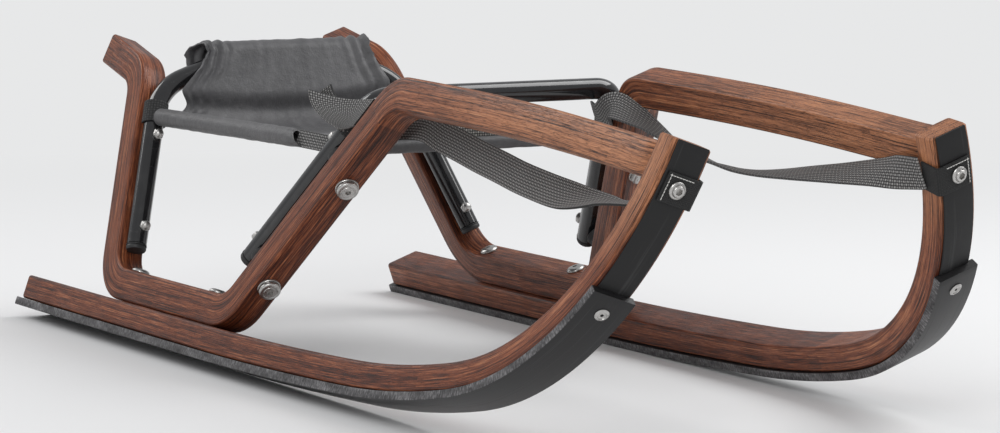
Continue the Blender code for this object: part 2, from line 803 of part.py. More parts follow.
def main():
    clear_scene()
    rear_low = upright_line(rear_leg_low, rear_leg_ahead)
    rear_high = upright_line(rear_bar_height, rear_leg_ahead)
    front_low = strut_line(front_leg_low, front_leg_behind)
    front_high = strut_line(front_bar_height, front_leg_behind)
    rear_hoop = add_hoop("rear_hoop", rear_low, rear_high, rear_hoop_bend)
    front_hoop = add_hoop("front_hoop", front_low, front_high, front_hoop_bend)
    add_seat()
    add_front_hem()
    for side_name, side in sides:
        add_side_frame(side_name, side, rear_hoop, front_hoop)
        add_cap("rear_leg_cap_" + side_name, side, rear_low, rear_high)
        add_cap("front_leg_cap_" + side_name, side, front_low, front_high)
        add_rear_band(side_name, side)
        add_side_hem(side_name, side)
        add_leg_loop(side_name, side)
        add_strap_tail(side_name, side)
        add_strap(side_name, side)


main()
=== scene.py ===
# Sport sled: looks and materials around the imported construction.
import bpy
import json
from math import ceil, cos, hypot, pi, radians, sin, tan
from mathutils import Matrix, Vector, noise
from mathutils.geometry import interpolate_bezier

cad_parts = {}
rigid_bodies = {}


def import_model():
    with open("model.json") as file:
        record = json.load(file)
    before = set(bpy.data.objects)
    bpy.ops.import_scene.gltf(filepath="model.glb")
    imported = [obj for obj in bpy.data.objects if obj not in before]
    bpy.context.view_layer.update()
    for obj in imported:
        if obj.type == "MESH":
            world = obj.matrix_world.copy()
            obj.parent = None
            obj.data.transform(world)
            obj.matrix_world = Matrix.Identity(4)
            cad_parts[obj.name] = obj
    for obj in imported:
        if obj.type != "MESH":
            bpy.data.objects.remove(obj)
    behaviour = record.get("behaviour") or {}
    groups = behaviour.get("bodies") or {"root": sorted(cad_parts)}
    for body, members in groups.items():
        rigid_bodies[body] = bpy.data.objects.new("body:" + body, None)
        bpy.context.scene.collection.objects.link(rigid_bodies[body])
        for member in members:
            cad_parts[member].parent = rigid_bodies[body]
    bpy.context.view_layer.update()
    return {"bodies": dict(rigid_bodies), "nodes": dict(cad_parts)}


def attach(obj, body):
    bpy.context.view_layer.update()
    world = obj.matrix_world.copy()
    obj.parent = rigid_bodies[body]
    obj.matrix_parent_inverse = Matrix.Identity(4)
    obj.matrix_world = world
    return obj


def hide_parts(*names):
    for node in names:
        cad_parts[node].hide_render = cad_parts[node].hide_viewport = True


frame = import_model()
body = list(frame["bodies"])[0]
bpy.ops.object.select_all(action="DESELECT")

# what all pieces share: the leaned plane of a side frame, in metres
sled = {
    "lean": radians(19.5),
    "halfGauge": 0.2240,
    "centre": 0.5792484,
    "lift": 0.0086 * cos(radians(19.5)) + 0.022 * sin(radians(19.5)),
    "gap": 0.0003,
    "tube": 0.0105,
}
sides = {"right": 1, "left": -1}

# camera: solved from the photo's side frames
camera = {
    "place": (3.56403, -1.99591, 0.61933),
    "turn": (83.512, -0.270, 60.606),
    "lens": 152.46,
}


def setCamera():
    data = bpy.data.cameras.new("camera")
    data.lens = camera["lens"]
    data.clip_end = 60
    eye = bpy.data.objects.new("camera", data)
    eye.location = camera["place"]
    eye.rotation_euler = [radians(a) for a in camera["turn"]]
    bpy.context.scene.collection.objects.link(eye)
    bpy.context.scene.camera = eye


setCamera()


# places: u forward, v up the plane of a side frame, out to its outer face
def onFrame(side, u, v, out=0.0):
    y = -sled["halfGauge"] + v * sin(sled["lean"]) - out * cos(sled["lean"])
    z = sled["lift"] + v * cos(sled["lean"]) + out * sin(sled["lean"])
    return Vector((u - sled["centre"], side * y, z))


def frameDirection(side, u, v, out=0.0):
    return onFrame(side, u, v, out) - onFrame(side, 0, 0)


def halfWidth(out, z):
    v = (z - sled["lift"] - out * sin(sled["lean"])) / cos(sled["lean"])
    return sled["halfGauge"] - v * sin(sled["lean"]) + out * cos(sled["lean"])


def roundedPath(corners, radii, steps):
    corners = [Vector(c) for c in corners]
    points = [corners[0]]
    for before, corner, after, radius in zip(corners, corners[1:], corners[2:], radii):
        a = (corner - before).normalized()
        b = (after - corner).normalized()
        turn = a.angle(b)
        inward = (b - a * a.dot(b)).normalized()
        centre = corner - a * radius * tan(turn / 2) + inward * radius
        for k in range(steps + 1):
            angle = turn * k / steps
            points.append(centre - inward * radius * cos(angle) + a * radius * sin(angle))
    return points + [corners[-1]]


def smoothLine(points, steps):
    points = [Vector(p) for p in points]
    ends = [points[0] * 2 - points[1]] + points + [points[-1] * 2 - points[-2]]
    line = []
    for a, b, c, d in zip(ends, ends[1:], ends[2:], ends[3:]):
        line += interpolate_bezier(b, b + (c - a) / 6, c - (d - b) / 6, c, steps + 1)[:-1]
    return line + [points[-1]]


def lineLengths(points):
    lengths = [0.0]
    for a, b in zip(points, points[1:]):
        lengths.append(lengths[-1] + (b - a).length)
    return lengths


def middleOf(points):
    return sum(points, Vector((0, 0, 0))) / len(points)


def smoothStep(value, low, high):
    share = min(max((value - low) / (high - low), 0), 1)
    return share * share * (3 - 2 * share)


# Shader sums: a socket that adds, takes away and multiplies like a number
class Value:
    def __init__(self, finish, socket):
        self.finish, self.socket = finish, socket

    def sum(self, operation, first, second=0.0):
        return self.finish.node("ShaderNodeMath", {"operation": operation}, {0: first, 1: second})

    def __add__(self, other):
        return self.sum("ADD", self, other)

    def __sub__(self, other):
        return self.sum("SUBTRACT", self, other)

    def __rsub__(self, other):
        return self.sum("SUBTRACT", other, self)

    def __mul__(self, other):
        return self.sum("MULTIPLY", self, other)

    __radd__, __rmul__ = __add__, __mul__

    def __gt__(self, other):
        return self.sum("GREATER_THAN", self, other)

    def __abs__(self):
        return self.sum("ABSOLUTE", self)

    def wave(self):
        return self.sum("SINE", self)

    def whole(self):
        return self.sum("FLOOR", self)


class Finish:
    def __init__(self, name, world=None, **fixed):
        self.material = world or bpy.data.materials.new(name)
        self.material.use_nodes = True
        self.tree = self.material.node_tree
        self.shader = self.tree.nodes["Background" if world else "Principled BSDF"]
        for socket, amount in fixed.items():
            self.shader.inputs[socket.replace("_", " ")].default_value = amount

    def give(self, socket, item):
        if isinstance(item, Value):
            self.tree.links.new(item.socket, socket)
        elif item is not None:
            socket.default_value = item

    def node(self, kind, settings, sockets, output=0):
        made = self.tree.nodes.new(kind)
        for name, item in settings.items():
            setattr(made, name, item)
        for name, item in sockets.items():
            self.give(made.inputs[name], item)
        return Value(self, made.outputs[output])

    def place(self, kind="Object"):
        return self.node("ShaderNodeTexCoord", {}, {}, kind)

    def rays(self, kind):
        return self.node("ShaderNodeLightPath", {}, {}, kind)

    # another shader over the first, where the factor is 1
    def cover(self, factor, shader, output):
        sockets = {0: factor, 1: Value(self, self.shader.outputs[0]), 2: shader}
        both = self.node("ShaderNodeMixShader", {}, sockets)
        self.give(self.tree.nodes[output].inputs["Surface"], both)

    def attribute(self, name):
        return self.node("ShaderNodeAttribute", {"attribute_name": name}, {}, "Vector")

    def parts(self, vector):
        made = self.tree.nodes.new("ShaderNodeSeparateXYZ")
        self.give(made.inputs[0], vector)
        return [Value(self, made.outputs[k]) for k in range(3)]

    def join(self, x, y, z=0.0):
        return self.node("ShaderNodeCombineXYZ", {}, {0: x, 1: y, 2: z})

    def cloud(self, vector, scale, detail=3.0, rough=0.5):
        sockets = {"Vector": vector, "Scale": scale, "Detail": detail, "Roughness": rough}
        return self.node("ShaderNodeTexNoise", {}, sockets, "Fac")

    def streaks(self, vector, amounts, detail=3.0, rough=0.5):
        stretched = self.node("ShaderNodeVectorMath", {"operation": "MULTIPLY"}, {0: vector, 1: amounts})
        return self.cloud(stretched, 1.0, detail, rough)

    def cells(self, vector, scale):
        return self.node("ShaderNodeTexVoronoi", {}, {"Vector": vector, "Scale": scale}, "Distance")

    def range(self, value, low, high, to=(0.0, 1.0)):
        sockets = {0: value, 1: low, 2: high, 3: to[0], 4: to[1]}
        return self.node("ShaderNodeMapRange", {"clamp": True}, sockets)

    def ramp(self, value, stops):
        made = self.tree.nodes.new("ShaderNodeValToRGB")
        while len(made.color_ramp.elements) < len(stops):
            made.color_ramp.elements.new(1.0)
        for element, (place, colour) in zip(made.color_ramp.elements, stops):
            element.position = place
            element.color = (*colour, 1)
        self.give(made.inputs[0], value)
        return Value(self, made.outputs[0])

    def mix(self, factor, first, second):
        made = self.tree.nodes.new("ShaderNodeMix")
        made.data_type = "RGBA"
        for k, item in ((0, factor), (6, first), (7, second)):
            self.give(made.inputs[k], (*item, 1) if isinstance(item, tuple) else item)
        return Value(self, made.outputs[2])

    def bump(self, height, distance, under=None):
        sockets = {"Height": height, "Distance": distance, "Strength": 1.0, "Normal": under}
        return self.node("ShaderNodeBump", {}, sockets)

    def done(self, **inputs):
        for socket, item in inputs.items():
            self.give(self.shader.inputs[socket.replace("_", " ")], item)
        return self.material


# wood: bent strips, with "grain" along the strip, across its layers and out
woodLook = {
    "layer": 0.00165,
    "darkest": (0.017, 0.0070, 0.0048),
    "dark": (0.062, 0.0155, 0.0075),
    "middle": (0.155, 0.0405, 0.0165),
    "light": (0.310, 0.0980, 0.0410),
    "tan": (0.54, 0.245, 0.118),
}


def woodFinish(name, lighterFrom, lighterTo):
    look = woodLook
    f = Finish(name, Coat_Roughness=0.22, Specular_IOR_Level=0.24)
    grain = f.attribute("grain")
    along, across, _ = f.parts(grain)
    wander = f.streaks(grain, (7, 60, 30), 2.0) * 0.9
    layer = (across * (1 / look["layer"]) + wander).whole()
    tone = f.node("ShaderNodeTexWhiteNoise", {"noise_dimensions": "2D"},
                  {"Vector": f.join(layer, (along * 2.3).whole())}, "Value")
    streak = f.streaks(grain, (26, 1250, 900), 5.0, 0.66)
    broad = f.streaks(grain, (3.2, 95, 70))
    shade = streak * 0.78 + tone * 0.11 + broad * 0.20
    colour = f.ramp(shade, ((0.40, look["darkest"]), (0.475, look["dark"]), (0.548, look["middle"]),
                            (0.635, look["light"]), (0.75, look["tan"])))
    x, _, z = f.parts(f.place())
    # painted light: the arm's front and the runner top, between the given x limits and at z 0.17 to 0.24, are
    # lightened towards tan where the light falls
    lit = f.range(x, lighterFrom, lighterTo) * f.range(z, 0.17, 0.24) * 0.62
    paintedLightColour = f.mix(lit * f.range(shade, 0.42, 0.60), colour, look["tan"])
    pores = f.range(f.streaks(grain, (120, 2300, 1700), 2.0), 0.58, 0.68)
    colour = f.mix(pores * 0.60, paintedLightColour, look["darkest"])
    worn = f.range(f.cloud(f.place(), 24.0, 4.0), 0.35, 0.75)
    height = streak * 0.6 - pores
    return f.done(Base_Color=colour, Roughness=0.36 + worn * 0.20, Coat_Weight=0.06 + worn * 0.08,
                  Normal=f.bump(height, 0.00022))


def tubeFinish():
    f = Finish("glossTube", Coat_Roughness=0.05)
    dust = f.range(f.cloud(f.place(), 60.0, 5.0), 0.52, 0.72)
    scuff = f.range(f.streaks(f.place(), (40, 40, 420)), 0.60, 0.74)
    colour = f.mix(dust * 0.22, (0.010, 0.010, 0.011), (0.045, 0.044, 0.043))
    return f.done(Base_Color=colour, Roughness=0.14 + scuff * 0.16, Coat_Weight=0.5 + dust * 0.2,
                  Normal=f.bump(f.cloud(f.place(), 420.0, 2.0), 0.00003))


def steelFinish():
    f = Finish("turnedSteel", Metallic=1.0)
    along = f.parts(f.place("UV"))[1]
    rings = (along * 9200.0).wave() * 0.5 + 0.5
    stain = f.range(f.cloud(f.place(), 260.0, 3.0), 0.52, 0.78)
    colour = f.mix(stain * 0.35, (0.50, 0.49, 0.475), (0.27, 0.26, 0.245))
    return f.done(Base_Color=colour, Roughness=0.30 + rings * 0.05 + stain * 0.12,
                  Normal=f.bump(rings, 0.00001))


def rubberFinish(name, pale, rough):
    f = Finish(name)
    speck = f.cloud(f.place(), 1400.0, 3.0)
    bloom = f.range(f.cloud(f.place(), 70.0, 4.0), 0.45, 0.75)
    colour = f.mix(bloom * 0.5, (pale, pale, pale * 1.04), (pale * 2.1, pale * 2.1, pale * 2.2))
    return f.done(Base_Color=colour, Roughness=rough + bloom * 0.12, Normal=f.bump(speck, 0.00008))


# sole: black sheet with sawn sides, "grain" along, through its thickness and out
def soleFinish():
    f = Finish("solePlastic", Specular_IOR_Level=0.35)
    grain = f.attribute("grain")
    out = f.parts(grain)[2]
    sawn = f.range(abs(out), 0.0214, 0.0218)
    cuts = f.streaks(grain, (520, 170, 1), 4.0, 0.7)
    patch = f.streaks(grain, (26, 90, 1), 2.0)
    edge = f.ramp(cuts * 0.7 + patch * 0.3, ((0.36, (0.022, 0.021, 0.022)), (0.50, (0.085, 0.082, 0.084)),
                                               (0.66, (0.27, 0.265, 0.27))))
    slides = f.range(f.streaks(grain, (6, 700, 700)), 0.55, 0.70)
    face = f.mix(slides * 0.5, (0.013, 0.0125, 0.013), (0.045, 0.044, 0.046))
    return f.done(Base_Color=f.mix(sawn, face, edge), Roughness=0.42 + sawn * 0.30 + slides * 0.10,
                  Normal=f.bump(cuts * sawn + slides * 0.15, 0.00035))


def facingFinish():
    f = Finish("facingPlastic", Specular_IOR_Level=0.32)
    fine = f.cloud(f.place(), 1500.0, 4.0, 0.6)
    scuff = f.range(f.streaks(f.attribute("grain"), (8, 500, 260), 4.0), 0.58, 0.74)
    colour = f.mix(scuff * 0.6, (0.011, 0.0108, 0.0112), (0.050, 0.049, 0.050))
    return f.done(Base_Color=colour, Roughness=0.50 + fine * 0.14, Normal=f.bump(fine, 0.00012))


def leatherFinish(name, colour, pale):
    f = Finish(name, Sheen_Weight=0.08)
    place = f.place()
    cells = f.cells(place, 950.0)
    creases = f.streaks(place, (120, 120, 120), 6.0, 0.65)
    cloudy = f.range(f.cloud(place, 15.0, 4.0), 0.35, 0.72)
    # the cloudy mottle is the leather's own tone; the paler crease ridges are a painted highlight on the
    # crumples
    tone = f.mix(cloudy * 0.55 + f.range(creases, 0.5, 0.75) * 0.3, colour, pale)
    under = f.bump(creases, 0.0009)
    return f.done(Base_Color=tone, Roughness=0.34 + cells * 0.22 + cloudy * 0.08,
                  Normal=f.bump(cells, 0.00012, under))


# webbing: yarns over and under each other, on the piece's own UV in metres
def webbingFinish(name, dark, light, yarn=0.0027):
    f = Finish(name)
    across, along, _ = f.parts(f.place("UV"))
    wander = f.streaks(f.place("UV"), (300, 60, 1), 2.0) * 0.5
    a = across * (pi / yarn)
    b = along * (pi / yarn) + wander
    over = abs(a.wave()) * abs(b.wave())
    turns = (a.wave() * b.wave() > 0.0) * 0.35 + 0.65
    weft = (along * (2 * pi / (yarn * 0.34))).wave() * 0.5 + 0.5
    height = over * turns * 0.8 + weft * 0.12
    fuzz = f.streaks(f.place("UV"), (3800, 900, 1))
    colour = f.mix(f.range(height + fuzz * 0.24, 0.26, 0.84), dark, light)
    return f.done(Base_Color=colour, Roughness=0.62 + fuzz * 0.2, Normal=f.bump(height, 0.0005))


def threadFinish():
    f = Finish("thread")
    twist = (f.parts(f.place("UV"))[1] * 9000.0).wave() * 0.5 + 0.5
    return f.done(Base_Color=f.mix(twist, (0.42, 0.41, 0.39), (0.72, 0.71, 0.68)),
                  Roughness=0.6 + twist * 0.2, Normal=f.bump(twist, 0.0001))


finishes = {
    "runnerWood": woodFinish("runnerWood", 0.30, 0.56),
    "carrierWood": woodFinish("carrierWood", 0.02, 0.40),
    "tube": tubeFinish(),
    "steel": steelFinish(),
    "bush": rubberFinish("bushRubber", 0.012, 0.55),
    "cap": rubberFinish("capRubber", 0.016, 0.48),
    "sole": soleFinish(),
    "facing": facingFinish(),
    "seat": leatherFinish("seatLeather", (0.062, 0.061, 0.064), (0.135, 0.133, 0.137)),
    "hem": leatherFinish("hemLeather", (0.050, 0.049, 0.051), (0.112, 0.110, 0.113)),
    "strap": webbingFinish("strapWebbing", (0.0075, 0.0073, 0.0075), (0.330, 0.322, 0.315)),
    "front": webbingFinish("frontWebbing", (0.020, 0.0195, 0.0190), (0.520, 0.500, 0.465)),
    "dark": webbingFinish("darkWebbing", (0.004, 0.004, 0.004), (0.036, 0.035, 0.036)),
    "patch": webbingFinish("patchWebbing", (0.005, 0.005, 0.005), (0.020, 0.020, 0.020), 0.0016),
    "thread": threadFinish(),
}
print("finishes made")


def selectOnly(*pieces):
    bpy.ops.object.select_all(action="DESELECT")
    for piece in pieces:
        piece.select_set(True)
    bpy.context.view_layer.objects.active = pieces[0]


def useModifier(piece, kind, **settings):
    bpy.context.view_layer.objects.active = piece
    bpy.ops.object.modifier_add(type=kind)
    modifier = piece.modifiers[-1]
    for name, item in settings.items():
        setattr(modifier, name, item)
    bpy.ops.object.modifier_apply(modifier=modifier.name)


def editAll(piece, step, **settings):
    selectOnly(piece)
    bpy.ops.object.mode_set(mode="EDIT")
    bpy.ops.mesh.select_all(action="SELECT")
    step(**settings)
    bpy.ops.object.mode_set(mode="OBJECT")


# A piece: a grid is added, its points are laid in rows, and its seams merged
def layGrid(name, rows, grain=None):
    columns = len(rows[0])
    bpy.ops.mesh.primitive_grid_add(x_subdivisions=columns - 1, y_subdivisions=len(rows) - 1, size=1)
    piece = bpy.context.object
    piece.name = name
    points = [p for row in rows for p in row]
    for vertex, point in zip(piece.data.vertices, points):
        vertex.co = point
    along = lineLengths([middleOf(row) for row in rows])
    across = lineLengths(rows[len(rows) // 2])
    for loop, texel in zip(piece.data.loops, piece.data.uv_layers[0].data):
        row, column = divmod(loop.vertex_index, columns)
        texel.uv = (across[column], along[row])
    if grain:
        attribute = piece.data.attributes.new("grain", "FLOAT_VECTOR", "POINT")
        for item, value in zip(attribute.data, [g for row in grain for g in row]):
            item.vector = value
    editAll(piece, bpy.ops.mesh.remove_doubles, threshold=0.00001)
    editAll(piece, bpy.ops.mesh.normals_make_consistent, inside=False)
    return piece


# A piece is first named as the node that it replaces, and here gets a name of its own
def finishPiece(piece, finish, smooth=40):
    node = piece.name.split(".")[0]
    words = node.split("_")
    piece.name = words[0] + "".join(word.capitalize() for word in words[1:])
    selectOnly(piece)
    bpy.ops.object.shade_smooth_by_angle(angle=radians(smooth))
    piece.data.materials.clear()
    piece.data.materials.append(finishes[finish])
    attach(piece, body)
    if node in frame["nodes"]:
        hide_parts(node)
    piece.select_set(False)
    return piece


def sweepRows(path, section):
    rows = []
    for k, (place, up) in enumerate(path):
        before, after = path[max(k - 1, 0)][0], path[min(k + 1, len(path) - 1)][0]
        ahead = (after - before).normalized()
        up = (up - ahead * ahead.dot(up)).normalized()
        across = ahead.cross(up)
        rows.append([place + across * a + up * b for a, b in section])
    return rows


def roundSection(radius, steps=32):
    return [(radius * cos(2 * pi * k / steps), radius * sin(2 * pi * k / steps)) for k in range(steps + 1)]


def closeEnds(rows, inset, depth):
    closed = []
    for row, nextRow in ((rows[0], rows[1]), (rows[-1], rows[-2])):
        middle = middleOf(row[:-1])
        ahead = (middleOf(nextRow[:-1]) - middle).normalized()
        ring = [p + (middle - p).normalized() * inset for p in row]
        edge = [p + ahead * depth for p in row]
        closed.append(([[middle] * len(row), ring], edge))
    (start, first), (end, last) = closed
    return start + [first] + rows[1:-1] + [last] + end[::-1]


def ribbon(name, path, width, thick, crown=0.0, columns=10):
    section = []
    for k in range(columns + 1):
        a = width * (k / columns - 0.5)
        section.append((a, crown * (1 - (2 * a / width) ** 2)))
    return thicken(layGrid(name, sweepRows(path, section)), thick)


def thicken(piece, thick, edge=0.22):
    useModifier(piece, "SOLIDIFY", thickness=thick, offset=0.0)
    useModifier(piece, "BEVEL", width=thick * edge, segments=2, limit_method="ANGLE", angle_limit=radians(60))
    return piece


# Straps: cords of flat webbing from the front legs to the runner tops
straps = {  # each point: forward, up, out and the turn in degrees
    "width": 0.030, "thick": 0.0021, "crown": 0.0006, "steps": 7,
    "right": ((0.5705, 0.2515, -0.0141, 0), (0.5880, 0.2525, -0.0195, 0), (0.6120, 0.2595, -0.0260, 0),
              (0.6515, 0.2630, -0.0300, 0), (0.6853, 0.2562, -0.0320, 0), (0.7187, 0.2509, -0.0350, 0),
              (0.7573, 0.2444, -0.0370, 0), (0.7965, 0.2388, -0.0380, 0), (0.8353, 0.2329, -0.0390, 0),
              (0.8723, 0.2287, -0.0400, 3), (0.9099, 0.2255, -0.0400, 14), (0.9455, 0.2244, -0.0400, 36),
              (0.9812, 0.2251, -0.0390, 56), (1.0030, 0.2256, -0.0380, 68), (1.0400, 0.2290, -0.0360, 66),
              (1.0750, 0.2355, -0.0320, 44), (1.1080, 0.2430, -0.0275, 12), (1.1400, 0.2500, -0.0242, 0)),
    "left": ((0.5705, 0.2515, -0.0141, 0), (0.5880, 0.2525, -0.0200, 0), (0.6060, 0.2575, -0.0255, 0),
             (0.6270, 0.2690, -0.0275, -22), (0.6500, 0.2715, -0.0280, -68), (0.7010, 0.2569, -0.0300, -111),
             (0.7300, 0.2490, -0.0330, -122), (0.7970, 0.2345, -0.0360, -127),
             (0.8320, 0.2317, -0.0370, -122), (0.8637, 0.2298, -0.0360, -112),
             (0.9060, 0.2317, -0.0350, -101), (0.9565, 0.2363, -0.0340, -90), (1.0190, 0.2415, -0.0310, -76),
             (1.0806, 0.2471, -0.0280, -54), (1.1120, 0.2490, -0.0258, -18), (1.1400, 0.2500, -0.0242, 0)),
}


def makeStrap(name):
    side, route = sides[name], straps[name]
    places = smoothLine([point[:3] for point in route], straps["steps"])
    twists = smoothLine([(radians(point[3]), 0) for point in route], straps["steps"])
    path = []
    for place, (twist, _) in zip(places, twists):
        path.append((onFrame(side, *place), frameDirection(side, 0, -sin(twist), -cos(twist))))
    piece = ribbon("strap_" + name, path, straps["width"], straps["thick"], straps["crown"])
    line = [place for place, _ in path]
    finishPiece(piece, "strap")
    lineLengths(line)[-1]


for name in sides:
    makeStrap(name)
print("straps made")

# Wood bars: a rounded rectangle carried between two edge lines of the plane
bar = {"round": 0.0032, "roundSteps": 4, "endInset": 0.0016}


def barSection(thick, width, round):
    section = []
    quarters = (((1, 1), 0), ((-1, 1), 90), ((-1, -1), 180), ((1, -1), 270))
    for (a, b), start in quarters:
        for k in range(bar["roundSteps"] + 1):
            angle = radians(start + 90 * k / bar["roundSteps"])
            section.append((a * (thick / 2 - round) + round * cos(angle),
                            b * (width / 2 - round) + round * sin(angle)))
    return section + [section[0]]


def layBar(name, side, edgeA, edgeB, width, round, inset=None):
    rows, grain, run = [], [], 0.0
    middles = [(Vector(a) + Vector(b)) / 2 for a, b in zip(edgeA, edgeB)]
    for k, (a, b) in enumerate(zip(edgeA, edgeB)):
        if k:
            run += (middles[k] - middles[k - 1]).length
        across = (Vector(b) - Vector(a)).normalized()
        thick = (Vector(b) - Vector(a)).length
        section = barSection(thick, width, round)
        rows.append([onFrame(side, *(middles[k] + across * t), out) for t, out in section])
        grain.append([Vector((run, t, out)) for t, out in section])
    inset = bar["endInset"] if inset is None else inset
    start, end = [[Vector((at, 0, 0))] * len(grain[0]) for at in (0, run)]
    grain = [start, grain[0]] + grain + [grain[-1], end]
    return layGrid(name, closeEnds(rows, inset, inset), grain)


runner = {
    "thick": 0.0255, "width": 0.040, "straight": 0.429, "step": 0.008,
    "bends": ((7.25, 2.5), (1.155, 8.55), (0.394, 5.0), (0.298, 66.3)),
}
sole = {"thick": 0.0086, "width": 0.044, "overhang": 0.009, "round": 0.0008, "inset": 0.0005}
facing = {"length": 0.147, "width": 0.0325, "thick": 0.002, "round": 0.00095, "inset": 0.0007}
runner["length"] = runner["straight"] + sum(r * radians(t) for r, t in runner["bends"])
sole["run"] = runner["length"] - facing["length"]


def runnerPoint(run, rise=0.0):
    u, v, heading = min(run, runner["straight"]), 0.0, 0.0
    left = run - runner["straight"]
    for radius, turn in runner["bends"]:
        if left <= 0:
            break
        angle = min(left / radius, radians(turn))
        u += radius * (sin(heading + angle) - sin(heading))
        v += radius * (cos(heading) - cos(heading + angle))
        heading += angle
        left -= radius * radians(turn)
    return Vector((u - rise * sin(heading), v + rise * cos(heading))), heading


def runEdge(start, end, rise):
    count = ceil((end - start) / runner["step"])
    return [runnerPoint(start + (end - start) * k / count, rise)[0] for k in range(count + 1)]


def makeRunner(name, side):
    piece = layBar("runner_" + name, side, runEdge(0, runner["length"], 0),
                   runEdge(0, runner["length"], runner["thick"]), runner["width"], bar["round"])
    finishPiece(piece, "runnerWood")
    faces = []
    for rise in (sled["gap"], sole["thick"]):
        faces.append([Vector((-sole["overhang"], -rise))] + runEdge(0, sole["run"], -rise))
    piece = layBar("sole_" + name, side, *faces, sole["width"], sole["round"], sole["inset"])
    finishPiece(piece, "sole")
    faces = [runEdge(sole["run"] + sled["gap"], runner["length"], -sled["gap"] - rise)
             for rise in (0, facing["thick"])]
    piece = layBar("facing_" + name, side, *faces, facing["width"], facing["round"], facing["inset"])
    finishPiece(piece, "facing")


carrier = {
    "thick": 0.033, "width": 0.030, "heel": 0.1773, "toe": 0.4521,
    "uprightTilt": radians(20.9), "strutTilt": radians(39.7), "armSlope": radians(2.7),
    "hornHeight": 0.262, "hornReach": 0.0887, "hornRise": 0.0195, "shoulder": 0.284,
    "crown": 0.0047, "bendInner": 0.032, "hornBendInner": 0.026, "bendSteps": 18,
}
carrier["foot"] = runner["thick"] + sled["gap"] + carrier["thick"] / 2


def meetRunner(point, slope):
    low, high = 0.0, runner["length"]
    for _ in range(50):
        run = (low + high) / 2
        place, _ = runnerPoint(run, runner["thick"] + sled["gap"])
        if place.y < point[1] - (place.x - point[0]) * tan(slope):
            low = run
        else:
            high = run
    return place


def carrierPath():
    c = carrier
    heel, toe = (c["heel"], c["foot"]), (c["toe"], c["foot"])
    horn = (heel[0] - (c["hornHeight"] - c["foot"]) * tan(c["uprightTilt"]), c["hornHeight"])
    tip = (horn[0] - c["hornReach"], c["hornHeight"] + c["hornRise"])
    shoulder = (toe[0] + (c["shoulder"] - c["foot"]) * tan(c["strutTilt"]), c["shoulder"])
    end = meetRunner(shoulder, c["armSlope"])
    middle = c["thick"] / 2
    radii = [c["hornBendInner"] + middle] + [c["bendInner"] + middle] * 3
    path = roundedPath([tip, horn, heel, toe, shoulder, end], radii, c["bendSteps"])
    crown = []
    for k in range(1, c["bendSteps"]):
        share = k / c["bendSteps"]
        crown.append(path[-2].lerp(end, share) + Vector((0, c["crown"] * sin(pi * share))))
    return path[:-1] + crown + [end]


def makeCarrier(name, side):
    path = carrierPath()
    upper, lower = [], []
    for k, point in enumerate(path):
        ahead = (path[min(k + 1, len(path) - 1)] - path[max(k - 1, 0)]).normalized()
        across = Vector((-ahead.y, ahead.x)) * carrier["thick"] / 2
        upper.append(point + across)
        lower.append(point - across)
    upper[-1] = meetRunner(upper[-2], carrier["armSlope"])
    lower[-1] = meetRunner(lower[-2], carrier["armSlope"])
    piece = layBar("carrier_" + name, side, upper, lower, carrier["width"], bar["round"])
    finishPiece(piece, "carrierWood")


for name, side in sides.items():
    makeRunner(name, side)
    makeCarrier(name, side)
print("side frames made")


# Hoops of tube, with rubber caps on their legs
hoops = {
    "rearBend": 0.060, "archBend": 0.250, "archAngle": radians(18), "archFrom": 0.048,
    "rearLow": 0.085, "rearBar": 0.281, "frontBend": 0.026, "frontLow": 0.102, "frontBar": 0.2768,
    "bush": 0.0126, "bendSteps": 16, "endInset": 0.0012, "endDepth": 0.0005,
}


def uprightLine(height, ahead):
    middle = carrier["heel"] - (height - carrier["foot"]) * tan(carrier["uprightTilt"])
    return (middle + ahead / cos(carrier["uprightTilt"]), height)


def strutLine(height, behind):
    middle = carrier["toe"] + (height - carrier["foot"]) * tan(carrier["strutTilt"])
    return (middle - behind / cos(carrier["strutTilt"]), height)


rearAhead = carrier["thick"] / 2 + sled["gap"] + sled["tube"]
frontBehind = carrier["thick"] / 2 + hoops["bush"] + sled["tube"] + 2 * sled["gap"]
rearLow, rearHigh = uprightLine(hoops["rearLow"], rearAhead), uprightLine(hoops["rearBar"], rearAhead)
frontLow, frontHigh = strutLine(hoops["frontLow"], frontBehind), strutLine(hoops["frontBar"], frontBehind)


# how far the arched rear bar has come down at this distance from the middle
def barFall(y):
    bend, angle = hoops["archBend"], hoops["archAngle"]
    out = max(abs(y) - hoops["archFrom"] + bend * tan(angle / 2), 0)
    end = bend * sin(angle)
    level = min(out, end)
    return bend - (bend ** 2 - level ** 2) ** 0.5 + (out - level) * tan(angle)


def makeHoop(name, low, high, bend, arched=False):
    corners = [onFrame(1, *low), onFrame(1, *high), onFrame(-1, *high), onFrame(-1, *low)]
    bends = (bend, bend)
    if arched:
        top, foot = corners[1], corners[0]
        leg = (foot - top) / (top.z - foot.z)
        shoulder = (abs(top.y) - hoops["archFrom"]) * tan(hoops["archAngle"])
        shoulder /= 1 - abs(leg.y) * tan(hoops["archAngle"])
        inner = Vector((top.x, -hoops["archFrom"], top.z))
        outer = top + leg * shoulder
        corners = [foot, outer, inner]
        corners += [Vector((p.x, -p.y, p.z)) for p in reversed(corners)]
        bends = (bend, hoops["archBend"], hoops["archBend"], bend)
    path = [(p, Vector((1, 0, 0))) for p in roundedPath(corners, bends, hoops["bendSteps"])]
    rows = closeEnds(sweepRows(path, roundSection(sled["tube"])), hoops["endInset"], hoops["endDepth"])
    finishPiece(layGrid(name, rows), "tube")


